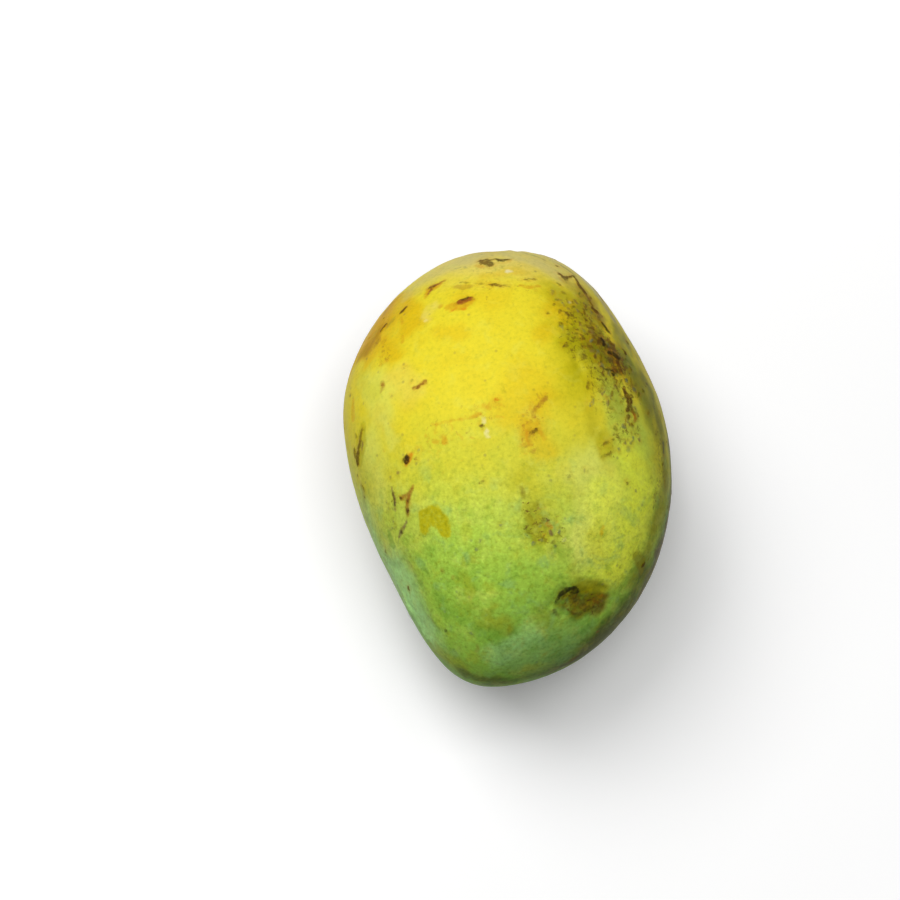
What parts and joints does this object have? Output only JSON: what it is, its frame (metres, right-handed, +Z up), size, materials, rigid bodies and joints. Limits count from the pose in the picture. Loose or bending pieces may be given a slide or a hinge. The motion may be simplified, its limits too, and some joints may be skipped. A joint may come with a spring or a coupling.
{
  "type": "mango",
  "caption": "Whole ripe mango as picked, with a rounded back, a hollow above the tip on the belly side and the dry stub of its stalk, lying on one cheek.",
  "frame": {"origin": "centre of the small flat on the lower cheek that the fruit rests on", "axes": "+Z up through the middle of the upper cheek, +Y towards the stalk end and -Y towards the tip, +X towards the rounded back and -X towards the belly"},
  "size_m": [0.0876, 0.1178, 0.0744],
  "materials": {
    "fruit_skin": "satin",
    "dry_stalk": "matte"
  },
  "bodies": {
    "root": {"fruit": "fruit_skin", "stem_stub": "dry_stalk"}
  },
  "joints": []
}
